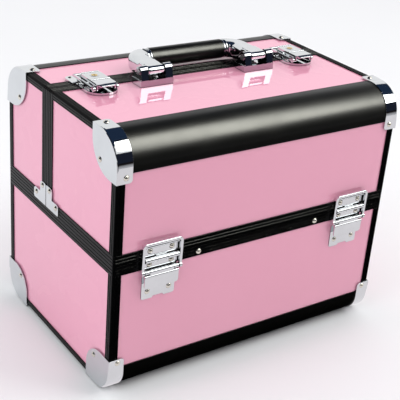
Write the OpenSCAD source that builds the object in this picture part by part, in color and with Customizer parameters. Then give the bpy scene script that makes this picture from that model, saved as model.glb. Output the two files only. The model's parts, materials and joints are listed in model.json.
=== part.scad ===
// Double-opening vanity case: a lower box, two lids that swing apart to the front and to the rear,
// four cantilever trays on parallel arms, two toggle locks on top and a folding carrying handle.
// X runs along the front, the front faces -Y and Z is up. Every size is in millimetres.

/* [Case] */
// Width over the aluminium edges
case_w = 353; // [335:1:375]
// Depth over the aluminium edges
case_d = 240; // [236:1:250]
// Height of the closed case without the handle
case_h = 287; // [284:1:296]
// Height of the seam between the box and the lids
seam_z = 154; // [153:0.5:156]
// Place of the seam between the two lids
seam_y = 24.6; // [20:0.2:28]
// Gap between the rims of two neighbouring shells
seam_gap = 0.6; // [0.4:0.1:1]
// Height of the rubber feet
foot_h = 1.5; // [1:0.5:3]

/* [Shell] */
// Thickness of the laminated board
board_t = 4; // [3:0.5:4.5]
// Thickness of the lining board
lining_t = 1; // [0.8:0.1:1.4]
// Wall of the edge rails
rail_t = 1.2; // [1:0.1:1.4]
// Height of the rim rails
rim_h = 11; // [9:0.5:12]
// Width of the flat edge rails
edge_w = 9.6; // [8:0.2:11]
// Radius of the rounded top profiles
top_r = 30; // [26:1:34]
// Radius of the rounded bottom profiles
low_r = 26; // [22:1:28]
// Flat flange on the rounded profiles
flange = 6.2; // [5:0.2:8]
// Width of the chrome corner band across the rounded profile
band_w = 16.5; // [13:0.5:19]
// Sheet thickness of the chrome corners and plates
sheet_t = 1; // [0.8:0.1:1.2]

/* [Hinge latches] */
// Distance of each hinge latch from the end of the case
latch_inset = 53; // [46:0.5:64]
// Width of the latch plates
latch_w = 39; // [36:0.5:42]
// Radius of the hinge pins
pin_r = 1.2; // [1:0.1:1.3]
// Radial clearance of every turning fit
fit = 0.06; // [0.04:0.01:0.1]
// Length of the latch lever below its pin
lever_drop = 17.8; // [15:0.2:20]
// Width of the loop bars
loop_bar = 2.8; // [2.4:0.1:3.6]

/* [Top locks] */
// Distance of each top lock from the end of the case
lock_inset = 48.5; // [44:0.5:58]
// Width of the lock housing
lock_w = 35; // [33:0.5:38]
// Width of the thumb lever
thumb_w = 22; // [20:0.5:23]

/* [Handle] */
// Distance of each handle bracket from the middle
grip_x = 66.5; // [62:0.5:74]
// Width of a handle bracket
bracket_w = 39; // [37:0.5:42]
// Width of a handle arm between the cheeks
arm_w = 20.6; // [19:0.2:22]
// Height of the bracket above the lid rails
bracket_h = 20.2; // [19.4:0.1:21.4]
// Radius of the black grip
grip_r = 10.7; // [10:0.1:11.2]
// Distance from the turning pin to the middle of the grip
grip_reach = 44.2; // [42:0.2:48]

/* [Trays] */
// Depth of a tray
tray_d = 97; // [88:1:99]
// Depth of the inside of the lower trays at the full case height
low_tray_h = 35; // [28:1:36]
// Depth of the inside of the upper trays at the full case height
top_tray_h = 38; // [28:1:42]
// Wall of the trays
tray_t = 1.8; // [1.4:0.1:2.4]
// Thickness of the tray arms
link_t = 2; // [1.5:0.1:2.2]
// Width of the tray arms
link_w = 10; // [8:0.5:11]
// Lean of the tray arms when the case is shut
link_lean = 30; // [26:0.5:31]

/* [Hidden] */
$fn = 48;
hw = case_w / 2;
hd = case_d / 2;
half_gap = seam_gap / 2;
base_z = foot_h;
base_top = seam_z - half_gap;
lid_z = seam_z + half_gap;
corner_r = 3;
nose_t = 1.6;
joint = 0.1;
board_in = rail_t + board_t;
lining_in = board_in + lining_t;
channel_in = lining_in + rail_t;
lip_h = 6;
groove_w = 0.9;
groove_d = 0.45;
front_s = seam_y - half_gap;
rear_s = -seam_y - half_gap;
top_cz = case_h - top_r;
top_cy = hd - top_r;
low_cz = base_z + low_r;
low_cy = hd - low_r;
board_y = hd - rail_t;
cap_reach = 46.6;
cap_drop = 45.6;
cap_rise = 43;
cap_y = hd - cap_reach;
cap_top_z = case_h - cap_drop;
cap_low_z = base_z + cap_rise;
cap_round = 3.5;
cap_in_top = 35;
cap_in_low = 28;
rivet_r = 3.1;
rivet_h = 1.8;
shank_r = 1.2;
rim_rivet_x = 77;
rim_rivet_drop = 6.2;
foot_in_x = 38;
foot_in_y = 44;
// hinge latch
latch_x = hw - latch_inset;
hinge_y = hd + 3.4;
hinge_z = seam_z;
barrel_r = 2.6;
lever_y = hd + 3.6;
lever_z = seam_z - 13.3;
lug_r = 2.2;
lever_w = latch_w + 0.6;
lug_in = 14.2;
tab_drop = 46.5;
tab_z = seam_z - tab_drop;
hook_y = hd + 2.3;
hook_z = seam_z + 14.6;
hook_r = 1.7;
loop_y = hd + 4.2;
loop_z = seam_z + 18.2;
loop_r = 1.5;
loop_gap = 0.7;
loop_in = lever_w / 2 + loop_gap;
loop_out = loop_in + loop_bar;
mid_half = 6;
// top lock
lock_x = hw - lock_inset;
panel_z = case_h - rail_t;
lock_front = seam_y - 38.7;
lever_front = seam_y - 38.4;
lock_pin_y = seam_y - 3.6;
lock_pin_z = case_h + 5.5;
bail_y = seam_y - 31.6;
bail_z = case_h + 5;
bar_y = seam_y + 10.6;
bar_z = case_h + 6;
bail_r = 1.15;
bail_half = lock_w / 2 - 4.2;
lip_half = bail_half - bail_r - 1;
key_y = seam_y - 8.6;
ridge_y = seam_y - 20.6;
thumb_t = 1.4;
thumb_z = case_h + 10.6;
// handle
turn_y = seam_y - 25.6;
turn_z = case_h + bracket_h - 6;
turn_r = 2.5;
barrel = 5;
cheek_r = 5;
bracket_foot = 5.8;
grip_y = turn_y + grip_reach;
grip_z = case_h + 0.5 + grip_r;
slot_half = arm_w / 2 + 0.3;
cheek_half = bracket_w / 2 - 0.5;
bend_r = 13.4;
bend_x = 0.9;
elbow_up = grip_r - 1.2;
socket_x = grip_x - bend_x - bend_r;
collar_w = 5.2;
grip_half = socket_x - collar_w;
core_r = 3;
// trays and arms
tray_half = hw - 13.5;
tray_back = 2;
tray_front = tray_back + tray_d;
// the trays keep their share of the room under the lid
lid_room = case_h - lining_in - seam_z;
lid_k = lid_room / 126.8;
low_pin_z = seam_z + 38 * lid_k;
top_pin_z = seam_z + 78 * lid_k;
pin_up = 14 * lid_k;
pin_in = 6.9;
root_z = seam_z - 14;
root_b = tray_back + pin_in + (top_pin_z - root_z) * tan(link_lean);
root_a = root_b + 30;
low_reach = (low_pin_z - root_z) / cos(link_lean);
top_reach = (top_pin_z - root_z) / cos(link_lean);
low_h = low_tray_h * lid_k;
top_h = top_tray_h * lid_k;
link_x = hw - lining_in - 2.6 - link_t;
stud_r = 1.6;

// Which sub-part is drawn

// helpers ---------------------------------------------------------------------------------------
module both_x() {
  children();
  mirror([1, 0, 0]) children();
}
module both_y() {
  children();
  mirror([0, 1, 0]) children();
}
module to_rear() {
  mirror([0, 1, 0]) children();
}
// 2D shapes drawn in Y and Z, pushed along X
module along_x(x0, x1) {
  translate([x0, 0, 0]) rotate([90, 0, 90]) linear_extrude(x1 - x0) children();
}
// 2D shapes drawn in X and Z, pushed along Y
module along_y(y0, y1) {
  translate([0, y1, 0]) rotate([90, 0, 0]) linear_extrude(y1 - y0) children();
}
module along_z(z0, z1) {
  translate([0, 0, z0]) linear_extrude(z1 - z0) children();
}
module rod_x(x0, x1, y, z, r) {
  translate([x0, y, z]) rotate([0, 90, 0]) cylinder(h = x1 - x0, r = r);
}
module box2(x0, y0, x1, y1) {
  translate([x0, y0]) square([x1 - x0, y1 - y0]);
}
// rectangle with its own radius at each corner: low left, low right, high right, high left
module round_box2(x0, y0, x1, y1, a, b, c, d) {
  difference() {
    box2(x0, y0, x1, y1);
    if (a > 0) corner_cut2(x0, y0, 1, 1, a);
    if (b > 0) corner_cut2(x1, y0, -1, 1, b);
    if (c > 0) corner_cut2(x1, y1, -1, -1, c);
    if (d > 0) corner_cut2(x0, y1, 1, -1, d);
  }
}
module corner_cut2(x, y, sx, sy, r) {
  translate([x, y]) mirror([sx < 0 ? 1 : 0, 0]) mirror([0, sy < 0 ? 1 : 0]) difference() {
    translate([-1, -1]) square(r + 1);
    translate([r, r]) circle(r);
  }
}
// domed rivet with its shank, seated on a face at z = 0 and pointing up
module rivet_up(grip, r = rivet_r, h = rivet_h, stem = shank_r) {
  ball = (r * r + h * h) / (2 * h);
  spread = asin(r / ball);
  rotate_extrude() polygon(concat([[0, -grip], [stem, -grip], [stem, 0]],
    [for (k = [5:-1:0]) [ball * sin(spread * k / 5), h - ball * (1 - cos(spread * k / 5))]]));
}
module rivet_front(x, y, z, grip) {
  translate([x, -y, z]) rotate([90, 0, 0]) rivet_up(grip);
}
module rivet_right(x, y, z, grip) {
  translate([x, y, z]) rotate([0, 90, 0]) rivet_up(grip);
}
module rivet_top(x, y, z, grip) {
  translate([x, y, z]) rivet_up(grip);
}
module hole_y(x, z, y0, y1) {
  translate([x, y1, z]) rotate([90, 0, 0]) cylinder(h = y1 - y0, r = shank_r);
}
module hole_x(y, z, x0, x1) {
  rod_x(x0, x1, y, z, shank_r);
}
module hole_z(x, y, z0, z1) {
  translate([x, y, z0]) cylinder(h = z1 - z0, r = shank_r);
}

// shell outlines --------------------------------------------------------------------------------
// lid section in Y and Z for the front lid; i is the inset, s the seam face, z0 the lower edge
module lid_section(i, s, z0) {
  box2(-(hd - i), z0, s, top_cz);
  box2(-top_cy, z0, s, case_h - i);
  translate([-top_cy, top_cz]) circle(top_r - i, $fn = 96);
}
module base_section(i, z1) {
  box2(-low_cy, base_z + i, low_cy, z1);
  box2(-(hd - i), low_cz, hd - i, z1);
  for (s = [-1, 1]) translate([s * low_cy, low_cz]) circle(low_r - i, $fn = 96);
}
// plan of a lid rim: square to the seam, rounded at the outer corners
module lid_plan(i, s) {
  r = max(corner_r - i, 0);
  round_box2(-(hw - i), -(hd - i), hw - i, s, r, r, 0, 0);
}
module base_plan(i) {
  r = max(corner_r - i, 0);
  round_box2(-(hw - i), -(hd - i), hw - i, hd - i, r, r, r, r);
}
// end view of a lid in X and Z
module seam_plan(i, z0) {
  r = max(corner_r - i, 0);
  round_box2(-(hw - i), z0, hw - i, case_h - i, 0, 0, r, r);
}
// L section of an edge rail, its corner at the origin and its legs along +x and +y
module edge_l2(a, b) {
  difference() {
    round_box2(0, 0, a, b, corner_r, 0, 0, 0);
    box2(rail_t, rail_t, a + 1, b + 1);
    box2(a * 0.42, -1, a * 0.42 + groove_w, groove_d);
    box2(a * 0.76, -1, a * 0.76 + groove_w, groove_d);
    box2(-1, b * 0.42, groove_d, b * 0.42 + groove_w);
    box2(-1, b * 0.76, groove_d, b * 0.76 + groove_w);
  }
}

// base box --------------------------------------------------------------------------------------
module base_boards() color("#e79ab8") {
  top = base_top - rail_t;
  both_x() along_x(hw - board_in, hw - rail_t) base_section(corner_r + joint, top);
  inner = hw - board_in - joint;
  both_y() translate([-inner, -board_y, low_cz + 0.2])
    cube([2 * inner, board_t, top - low_cz - 0.2]);
  translate([-inner, -(low_cy - 0.2), base_z + rail_t])
    cube([2 * inner, 2 * (low_cy - 0.2), board_t]);
}
module base_lining() color("#1c1c1e") {
  top = base_top - rail_t;
  along_x(-(hw - board_in - joint), hw - board_in - joint) difference() {
    base_section(board_in, top);
    base_section(lining_in, top + 1);
  }
  both_x() difference() {
    along_x(hw - lining_in, hw - board_in) base_section(lining_in + joint, top);
    for (y = [root_a, root_b, -root_a, -root_b])
      rod_x(hw - lining_in - 1, hw, y, root_z, stud_r);
  }
}
module base_rim_rails() color("#26262a") difference() {
  union() {
    along_z(base_top - rim_h, base_top) difference() {
      base_plan(0);
      base_plan(rail_t);
    }
    along_z(base_top - rail_t, base_top) difference() {
      base_plan(0);
      base_plan(channel_in);
    }
    along_z(base_top - lip_h, base_top) difference() {
      base_plan(lining_in);
      base_plan(channel_in);
    }
  }
  for (k = [0.3, 0.62]) along_z(base_top - rim_h * k - groove_w, base_top - rim_h * k)
    difference() {
      base_plan(-1);
      base_plan(groove_d);
    }
  for (sx = [-1, 1], sy = [-1, 1]) translate([sx * hw, sy * hd, base_top - rim_h - 1])
    rotate([0, 0, sx * sy * 45]) translate([-15, -0.1, 0]) cube([30, 0.2, rim_h + 2]);
  for (x = [-rim_rivet_x, rim_rivet_x]) both_y()
    hole_y(x, base_top - rim_rivet_drop, -hd - 1, -hd + rail_t + 0.1);
}
module base_edge_rails() color("#26262a") {
  // upright corner rails
  both_x() both_y() translate([-hw, -hd, 0])
    along_z(low_cz + flange + 0.2, base_top - rim_h - 0.1) edge_l2(edge_w, edge_w);
  // rails along the lower edges of both ends
  both_x() along_y(-(low_cy - flange - 0.2), low_cy - flange - 0.2)
    translate([-hw, base_z]) edge_l2(edge_w, edge_w - 1);
}
module low_profile2() {
  difference() {
    intersection() {
      translate([-low_cy, low_cz]) circle(low_r, $fn = 96);
      box2(-hd - 1, base_z - 1, -low_cy, low_cz);
    }
    translate([-low_cy, low_cz]) circle(low_r - nose_t, $fn = 96);
  }
  box2(-hd, low_cz, -board_y, low_cz + flange);
  box2(-low_cy, base_z, -low_cy + flange, base_z + rail_t);
}
module base_round_profiles() color("#26262a") {
  both_y() along_x(-hw, hw) low_profile2();
}
module low_cap() {
  difference() {
    union() {
      along_x(hw, hw + sheet_t)
        round_box2(-hd - sheet_t, base_z - sheet_t, -cap_y, cap_low_z,
          low_r + sheet_t, 2, cap_in_low, 2);
      along_x(hw - band_w, hw + sheet_t) difference() {
        intersection() {
          base_section(-sheet_t, cap_low_z);
          box2(-hd - 2, base_z - 2, -cap_y, cap_low_z);
        }
        base_section(0, cap_low_z + 1);
      }
    }
    // rounded free corners of the band
    along_y(-hd - 2, -hd + 1) corner_cut2(hw - band_w, cap_low_z, 1, -1, cap_round);
    along_z(base_z - 2, base_z + 1) corner_cut2(hw - band_w, -cap_y, 1, -1, cap_round);
    hole_x(-(hd - 31), base_z + 33, hw - 1, hw + 2);
    hole_y(hw - 9.3, cap_low_z - 4.4, -hd - 2, -hd + 1);
    hole_z(hw - 9.3, -(cap_y + 6), base_z - 2, base_z + 1);
  }
}
module base_corner_caps() color("#d7dade") {
  both_x() both_y() low_cap();
}
module base_rivets() color("#cfc9bd") {
  both_x() both_y() {
    rivet_right(hw + sheet_t, -(hd - 31), base_z + 33, sheet_t);
    rivet_front(hw - 9.3, hd + sheet_t, cap_low_z - 4.4, sheet_t);
    translate([hw - 9.3, -(cap_y + 6), base_z - sheet_t]) mirror([0, 0, 1])
      rivet_up(sheet_t, rivet_r, 0.4);
    rivet_front(rim_rivet_x, hd, base_top - rim_rivet_drop, rail_t);
    for (x = [latch_x - 12.7, latch_x + 12.7]) {
      rivet_front(x, hd + sheet_t, seam_z - 6.3, sheet_t);
      rivet_front(x, board_y + sheet_t, seam_z - 37.7, sheet_t);
    }
  }
}
module rubber_feet() color("#1a1a1a") {
  both_x() both_y() translate([hw - foot_in_x, foot_in_y - hd, 0]) difference() {
    cylinder(h = base_z + rail_t, r = 7);
    translate([0, 0, -1]) cylinder(h = 1.6, r = 2.6);
  }
}
module arm_studs() color("#b9bcc0") {
  for (y = [root_a, root_b, -root_a, -root_b]) both_x() {
    rod_x(link_x - 0.9, hw - board_in, y, root_z, stud_r);
    rod_x(link_x + link_t + 0.15, hw - lining_in, y, root_z, 4);
    rod_x(link_x - 1.7, link_x - 0.15, y, root_z, 3.4);
  }
}

// hinge latches, fixed side ---------------------------------------------------------------------
// the fixed plate: a stepped strip with a notched lower edge, hinge barrels and lever lugs
module latch_base_plate() {
  half = latch_w / 2;
  foot = -board_y;
  face = -hd;
  difference() {
    union() {
      along_x(-half, half) polygon([[foot, tab_z], [foot, seam_z - 21], [face, seam_z - 18.5],
        [face, seam_z - 2.9], [face - sheet_t, seam_z - 2.9], [face - sheet_t, seam_z - 18.2],
        [foot - sheet_t, seam_z - 20.7], [foot - sheet_t, tab_z]]);
      for (s = [0, 1]) mirror([s, 0, 0]) {
        along_x(mid_half + 0.3, half) {
          box2(face - 2.4, seam_z - 3, face, hinge_z);
          translate([-hinge_y, hinge_z]) circle(barrel_r);
        }
        along_x(lug_in, half) {
          box2(-lever_y, lever_z - 1.2, face - 0.5, lever_z + 1.2);
          translate([-lever_y, lever_z]) circle(lug_r);
        }
      }
    }
    rod_x(-half - 1, half + 1, -hinge_y, hinge_z, pin_r);
    rod_x(-half - 1, half + 1, -lever_y, lever_z, pin_r);
    for (x = [-12.7, 12.7]) {
      hole_y(x, seam_z - 6.3, -hd - 3, -hd + 1);
      hole_y(x, seam_z - 37.7, -hd - 1, -hd + 2);
    }
    // shallow notch in the lower edge
    along_y(-hd - 2, -hd + 2) polygon([[-8, tab_z - 1], [-5.5, tab_z + 2], [5.5, tab_z + 2],
      [8, tab_z - 1]]);
    along_y(-hd - 2, -hd + 2) for (s = [-1, 1]) corner_cut2(-s * half, tab_z, s, 1, 2.5);
  }
}
module latch_base_plates() color("#d7dade") {
  both_x() both_y() translate([latch_x, 0, 0]) latch_base_plate();
}
module latch_pins() color("#b9bcc0") {
  both_x() both_y() translate([latch_x, 0, 0]) {
    rod_x(-latch_w / 2 - 0.4, latch_w / 2 + 0.4, -hinge_y, hinge_z, pin_r);
    rod_x(-loop_out - 0.15, loop_out + 0.15, -lever_y, lever_z, pin_r);
  }
}

// hinge latches, moving side --------------------------------------------------------------------
module hinge_leaf() {
  half = latch_w / 2;
  face = -hd;
  difference() {
    union() {
      along_x(-half, half) {
        box2(face - sheet_t, seam_z + 3.2, face, hook_z);
        translate([-hook_y, hook_z]) circle(hook_r);
      }
      along_x(-mid_half, mid_half) {
        box2(face - 2.4, lid_z, face, seam_z + 3.4);
        translate([-hinge_y, hinge_z]) circle(barrel_r);
      }
    }
    rod_x(-half, half, -hinge_y, hinge_z, pin_r + fit);
    for (x = [-12.7, 12.7]) hole_y(x, seam_z + 9, -hd - 3, -hd + 1);
  }
}
module front_hinge_leaves() color("#d7dade") {
  both_x() translate([latch_x, 0, 0]) hinge_leaf();
}
module rear_hinge_leaves() color("#d7dade") {
  both_x() to_rear() translate([latch_x, 0, 0]) hinge_leaf();
}
module latch_lever() {
  half = lever_w / 2;
  low = lever_z - lever_drop;
  difference() {
    union() {
      along_x(-lug_in + 0.3, lug_in - 0.3) {
        translate([-lever_y, lever_z]) circle(lug_r);
        box2(-lever_y - 2, lever_z - 4, -lever_y + 0.6, lever_z);
      }
      along_x(-half, half) {
        translate([-lever_y - 0.8, lever_z - 4.6]) circle(1.7);
        box2(-lever_y - 1.9, low, -lever_y - 0.7, lever_z - 4.6);
      }
    }
    rod_x(-half, half, -lever_y, lever_z, pin_r + fit);
    // rounded lower corners of the flap
    along_y(-lever_y - 6, -lever_y + 4) for (s = [-1, 1]) corner_cut2(-s * half, low, s, 1, 3);
  }
}
module latch_lever_front_left() color("#d7dade") translate([-latch_x, 0, 0]) latch_lever();
module latch_lever_front_right() color("#d7dade") translate([latch_x, 0, 0]) latch_lever();
module latch_lever_rear_left() color("#d7dade") to_rear() translate([-latch_x, 0, 0]) latch_lever();
module latch_lever_rear_right() color("#d7dade") to_rear() translate([latch_x, 0, 0]) latch_lever();
module latch_loop() {
  low = lever_z - 2.9;
  high = loop_z + loop_r;
  difference() {
    intersection() {
      along_x(-loop_out, loop_out) {
        translate([-lever_y, lever_z]) circle(2.7);
        polygon([[-lever_y - 1.2, lever_z], [-lever_y + 1.2, lever_z],
          [-loop_y + 1.2, loop_z], [-loop_y - 1.2, loop_z]]);
        translate([-loop_y, loop_z]) circle(loop_r);
      }
      along_y(-hd - 12, -hd + 2) difference() {
        round_box2(-loop_out, low, loop_out, high, 1, 1, 5.5, 5.5);
        round_box2(-loop_in, low - 1, loop_in, high - 2 * loop_r, 0, 0, 2.5, 2.5);
      }
    }
    rod_x(-loop_out - 1, loop_out + 1, -lever_y, lever_z, pin_r + fit);
  }
}
module latch_loop_front_left() color("#d7dade") translate([-latch_x, 0, 0]) latch_loop();
module latch_loop_front_right() color("#d7dade") translate([latch_x, 0, 0]) latch_loop();
module latch_loop_rear_left() color("#d7dade") to_rear() translate([-latch_x, 0, 0]) latch_loop();
module latch_loop_rear_right() color("#d7dade") to_rear() translate([latch_x, 0, 0]) latch_loop();

// lids, drawn as the front lid; s is the seam face ------------------------------------------------
module lid_boards(s) {
  low = lid_z + rail_t;
  edge = s - rail_t;
  both_x() along_x(hw - board_in, hw - rail_t) lid_section(corner_r + joint, edge, low);
  inner = hw - board_in - joint;
  translate([-inner, -board_y, low]) cube([2 * inner, board_t, top_cz - 0.2 - low]);
  translate([-inner, -(top_cy - 0.2), case_h - board_in])
    cube([2 * inner, edge + top_cy - 0.2, board_t]);
}
module lid_lining(s) {
  low = lid_z + rail_t;
  edge = s - rail_t;
  along_x(-(hw - board_in - joint), hw - board_in - joint) difference() {
    lid_section(board_in, edge, low);
    lid_section(lining_in, edge + 1, low - 1);
  }
  both_x() along_x(hw - lining_in, hw - board_in) lid_section(lining_in + joint, edge, low);
}
module lid_rim(s) {
  difference() {
    union() {
      along_z(lid_z, lid_z + rim_h) difference() {
        lid_plan(0, s);
        lid_plan(rail_t, s + 1);
      }
      along_z(lid_z, lid_z + rail_t) difference() {
        lid_plan(0, s);
        lid_plan(channel_in, s + 1);
      }
      along_z(lid_z, lid_z + lip_h) difference() {
        lid_plan(lining_in, s);
        lid_plan(channel_in, s + 1);
      }
    }
    for (k = [0.3, 0.62]) along_z(lid_z + rim_h * k, lid_z + rim_h * k + groove_w)
      difference() {
        lid_plan(-1, s + 1);
        lid_plan(groove_d, s + 2);
      }
    for (sx = [-1, 1]) translate([sx * hw, -hd, lid_z - 1])
      rotate([0, 0, -sx * 45]) translate([-15, -0.1, 0]) cube([30, 0.2, rim_h + 2]);
    // mitre towards the upright seam rail
    along_x(-hw - 1, hw + 1) polygon([[s + 0.9, lid_z - 1], [s - 14.1, lid_z + 14],
      [s + 1, lid_z + 14]]);
  }
}
module lid_seam_frame(s) {
  difference() {
    union() {
      along_y(s - rim_h - 0.5, s) difference() {
        seam_plan(0, lid_z);
        seam_plan(rail_t, lid_z - 1);
      }
      along_y(s - rail_t, s) difference() {
        seam_plan(0, lid_z);
        seam_plan(channel_in, lid_z - 1);
      }
      along_y(s - lip_h, s) difference() {
        seam_plan(lining_in, lid_z);
        seam_plan(channel_in, lid_z - 1);
      }
    }
    for (k = [0.3, 0.62]) along_y(s - rim_h * k - groove_w, s - rim_h * k) difference() {
      seam_plan(-1, lid_z - 1);
      seam_plan(groove_d, lid_z - 2);
    }
    for (sx = [-1, 1]) translate([sx * hw, s - 20, case_h])
      rotate([0, -sx * 45, 0]) translate([-15, 0, -0.1]) cube([30, 21, 0.2]);
    along_x(-hw - 1, hw + 1) polygon([[s + 1.1, lid_z - 1], [s - 13.9, lid_z + 14],
      [s - 30, lid_z + 14], [s - 30, lid_z - 1]]);
  }
}
module lid_edge_rails(s) {
  both_x() translate([-hw, -hd, 0])
    along_z(lid_z + rim_h + 0.1, top_cz - flange - 0.2) edge_l2(edge_w, edge_w);
  both_x() along_y(-(top_cy - flange - 0.2), s - rim_h - 0.6)
    translate([-hw, case_h]) mirror([0, 1]) edge_l2(edge_w, edge_w - 1.4);
}
module lid_round_profile() {
  along_x(-hw, hw) {
    difference() {
      intersection() {
        translate([-top_cy, top_cz]) circle(top_r, $fn = 96);
        box2(-hd - 1, top_cz, -top_cy, case_h + 1);
      }
      translate([-top_cy, top_cz]) circle(top_r - nose_t, $fn = 96);
    }
    box2(-hd, top_cz - flange, -board_y, top_cz);
    box2(-top_cy, case_h - rail_t, -top_cy + flange, case_h);
  }
}
module lid_cap() {
  difference() {
    union() {
      along_x(hw, hw + sheet_t)
        round_box2(-hd - sheet_t, cap_top_z, -cap_y, case_h + sheet_t,
          2, cap_in_top, 2, top_r + sheet_t);
      along_x(hw - band_w, hw + sheet_t) difference() {
        intersection() {
          lid_section(-sheet_t, 0, cap_top_z);
          box2(-hd - 2, cap_top_z, -cap_y, case_h + 2);
        }
        lid_section(0, 1, cap_top_z - 1);
      }
    }
    // rounded free corners of the band
    along_y(-hd - 2, -hd + 1) corner_cut2(hw - band_w, cap_top_z, 1, 1, cap_round);
    along_z(case_h - 1, case_h + 2) corner_cut2(hw - band_w, -cap_y, 1, -1, cap_round);
    hole_x(-(hd - 31), case_h - 31.5, hw - 1, hw + 2);
    hole_y(hw - 9.6, cap_top_z + 6, -hd - 2, -hd + 1);
    hole_z(hw - 9.6, -(cap_y + 6.6), case_h - 1, case_h + 2);
  }
}
module lid_seam_plate(s) {
  edge = s - 0.3;
  difference() {
    along_x(hw, hw + sheet_t) {
      round_box2(edge - 13, lid_z + 0.3, edge, lid_z + 25.6, 0, 0, 2, 4);
      round_box2(edge - 28, lid_z + 0.3, edge, lid_z + 12.6, 2, 0, 0, 4);
    }
    hole_x(edge - 7.6, lid_z + 21.6, hw - 1, hw + 2);
    hole_x(edge - 22.2, lid_z + 8, hw - 1, hw + 2);
  }
}
module lid_rivets(s) {
  edge = s - 0.3;
  both_x() {
    rivet_right(hw + sheet_t, -(hd - 31), case_h - 31.5, sheet_t);
    rivet_front(hw - 9.6, hd + sheet_t, cap_top_z + 6, sheet_t);
    rivet_top(hw - 9.6, -(cap_y + 6.6), case_h + sheet_t, sheet_t);
    rivet_right(hw + sheet_t, edge - 7.6, lid_z + 21.6, sheet_t);
    rivet_right(hw + sheet_t, edge - 22.2, lid_z + 8, sheet_t);
    for (x = [latch_x - 12.7, latch_x + 12.7]) rivet_front(x, hd + sheet_t, seam_z + 9, sheet_t);
  }
}
module front_lid_boards() color("#e79ab8") lid_boards(front_s);
module front_lid_lining() color("#1c1c1e") lid_lining(front_s);
module front_lid_rim_rails() color("#26262a") {
  lid_rim(front_s);
  lid_seam_frame(front_s);
}
module front_lid_edge_rails() color("#26262a") lid_edge_rails(front_s);
module front_lid_round_profile() color("#26262a") lid_round_profile();
module front_lid_corner_caps() color("#d7dade") both_x() lid_cap();
module front_lid_seam_plates() color("#d7dade") both_x() lid_seam_plate(front_s);
module front_lid_rivets() color("#cfc9bd") {
  lid_rivets(front_s);
  // screws through the flange of the lock housings
  both_x() for (dx = [-1, 1], y = [key_y - 6, key_y + 4.6])
    translate([lock_x + dx * (lock_w / 2 - 2), y, case_h + 1.6]) rivet_up(1.6, 1.6, 0.8, 0.7);
}
module rear_lid_boards() color("#e79ab8") to_rear() lid_boards(rear_s);
module rear_lid_lining() color("#1c1c1e") to_rear() lid_lining(rear_s);
module rear_lid_rim_rails() color("#26262a") to_rear() {
  lid_rim(rear_s);
  lid_seam_frame(rear_s);
}
module rear_lid_edge_rails() color("#26262a") to_rear() lid_edge_rails(rear_s);
module rear_lid_round_profile() color("#26262a") to_rear() lid_round_profile();
module rear_lid_corner_caps() color("#d7dade") to_rear() both_x() lid_cap();
module rear_lid_seam_plates() color("#d7dade") to_rear() both_x() lid_seam_plate(rear_s);
module rear_lid_rivets() color("#cfc9bd") {
  to_rear() lid_rivets(rear_s);
  both_x() for (dx = [-1, 1]) translate([lock_x + dx * 14.5, seam_y + 17.5, case_h + 1.6])
    rivet_up(1.6, 2.3, 1, 0.9);
}

// top locks -------------------------------------------------------------------------------------
// housing of the lock on the front lid: stepped flange, two pairs of lugs
module lock_housing() {
  half = lock_w / 2;
  back = seam_y - half_gap - 0.4;
  step = front_s - rim_h - 0.8;
  difference() {
    union() {
      // flange: on the board in front, on the seam rail behind
      along_z(case_h, case_h + 1.6) round_box2(-half, lock_front, half, back, 16, 16, 2, 2);
      along_z(panel_z, case_h + 0.1) round_box2(-half, lock_front, half, step, 16, 16, 0, 0);
      // raised side walls that guide the bail, interrupted around the screw heads
      for (s = [0, 1]) mirror([s, 0, 0]) {
        along_x(bail_half + bail_r + 0.4, bail_half + bail_r + 1.6) {
          round_box2(seam_y - 28.6, case_h + 1, key_y - 8.2, case_h + 3.4, 0, 0, 2, 2);
          round_box2(key_y - 3.8, case_h + 1, seam_y - 6, case_h + 3.4, 0, 0, 2, 2);
        }
        // lugs that carry the lever pin
        along_x(thumb_w / 2 - 3.6, thumb_w / 2 - 1.9) {
          box2(lock_pin_y - 2.4, case_h + 1, lock_pin_y + 2.4, lock_pin_z);
          translate([lock_pin_y, lock_pin_z]) circle(2.4);
        }
      }
      // lock body under the key
      along_z(case_h + 1, case_h + 5.4) translate([0, key_y - 3]) square([11, 9], center = true);
    }
    rod_x(-half, half, lock_pin_y, lock_pin_z, pin_r);
    for (dx = [-1, 1], y = [key_y - 6, key_y + 4.6])
      translate([dx * (half - 2), y, case_h]) cylinder(h = 4, r = 0.7);
  }
}
module lock_housings() color("#d7dade") both_x() translate([lock_x, 0, 0]) lock_housing();
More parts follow.
